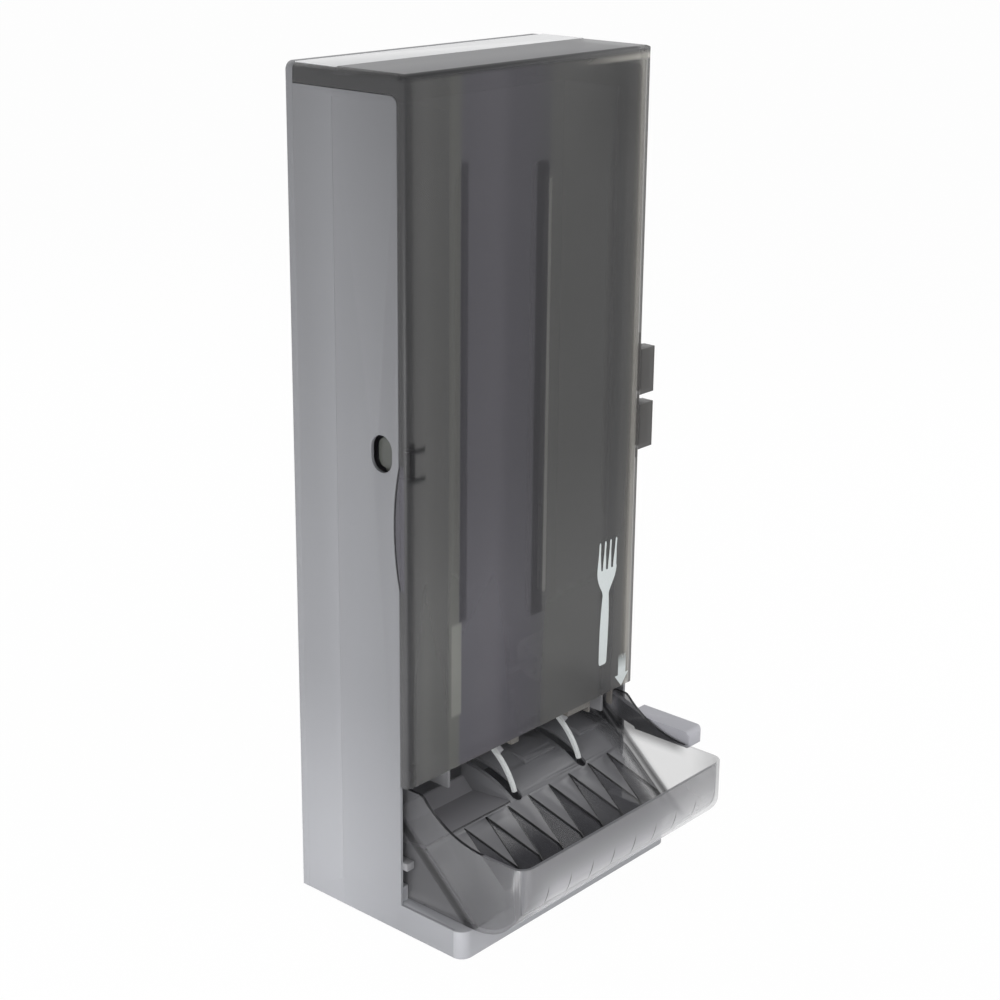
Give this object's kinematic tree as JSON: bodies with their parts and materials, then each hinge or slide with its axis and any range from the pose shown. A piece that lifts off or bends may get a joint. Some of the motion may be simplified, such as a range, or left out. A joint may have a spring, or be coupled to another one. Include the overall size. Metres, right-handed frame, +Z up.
{
  "type": "cutlery dispenser",
  "caption": "Tall upright dispenser that drops stacked cutlery onto a slide-out catch tray when its side lever is pressed, with a hinged smoke front cover.",
  "frame": {"origin": "centre of the base's footprint, on the surface that the dispenser stands on", "axes": "+X to the right of someone facing the front, +Y to the back, +Z up"},
  "size_m": [0.28, 0.2143, 0.629],
  "materials": {
    "housing_grey": "satin",
    "roof_white": "satin",
    "cover_smoke": "translucent smoke",
    "inner_grey": "satin",
    "acetal": "satin",
    "steel": "brushed",
    "lever_grey": "satin",
    "finger_clear": "clear",
    "tray_smoke": "translucent smoke",
    "rubber": "matt"
  },
  "bodies": {
    "housing": {"left_side_panel": "housing_grey", "right_side_panel": "housing_grey", "foot_base": "housing_grey", "back_plate": "housing_grey", "roof_panel": "roof_white", "hinge_bracket": "housing_grey", "hinge_pin_upper": "steel", "hinge_pin_lower": "steel", "hinge_screws": "steel", "magazine_wall_left": "inner_grey", "magazine_wall_right": "inner_grey", "magazine_back_wall": "inner_grey", "mech_frame_left": "inner_grey", "mech_frame_right": "inner_grey", "chute_plate": "inner_grey", "rotor_bushings": "acetal", "lever_bushings": "acetal", "return_spring": "steel", "guide_finger_left": "finger_clear", "guide_finger_right": "finger_clear", "finger_clips": "inner_grey", "front_crossbar": "inner_grey", "tray_catches": "inner_grey", "rubber_feet": "rubber", "back_plate_screws": "steel", "frame_screws": "steel"},
    "cover": {"cover": "cover_smoke", "latch_pin": "steel"},
    "latch": {"latch_tongue": "cover_smoke"},
    "lever": {"lever": "lever_grey", "lever_shaft": "steel", "sector_gear": "acetal"},
    "rotor": {"rotor_shaft": "steel", "rotor_left": "acetal", "rotor_right": "acetal", "pinion_gear": "acetal"},
    "tray": {"tray": "tray_smoke"}
  },
  "joints": [
    {"name": "cover_hinge", "type": "hinge", "parent": "housing", "child": "cover", "pos_m": [0.1395, -0.019, 0.35], "axis": [0, 0, 1], "range_deg": [0, 95]},
    {"name": "latch_press", "type": "hinge", "parent": "cover", "child": "latch", "pos_m": [-0.1234, -0.02155, 0.362], "axis": [0, 0, -1], "range_deg": [0, 8], "stiffness_Nm_per_rad": 0.15},
    {"name": "lever_press", "type": "hinge", "parent": "housing", "child": "lever", "pos_m": [0.12, 0.04598, 0.11362], "axis": [1, 0, 0], "range_deg": [0, 18], "stiffness_Nm_per_rad": 0.35, "springref_deg": -14.32},
    {"name": "rotor_turn", "type": "hinge", "parent": "housing", "child": "rotor", "pos_m": [0, 0.008, 0.152], "axis": [1, 0, 0], "range_deg": [-90, 0]},
    {"name": "tray_slide", "type": "slide", "parent": "housing", "child": "tray", "axis": [0, -1, 0], "range_m": [0, 0.08]}
  ],
  "couplings": [
    {"joint": "rotor_turn", "follows": "lever_press", "ratio": -5}
  ]
}
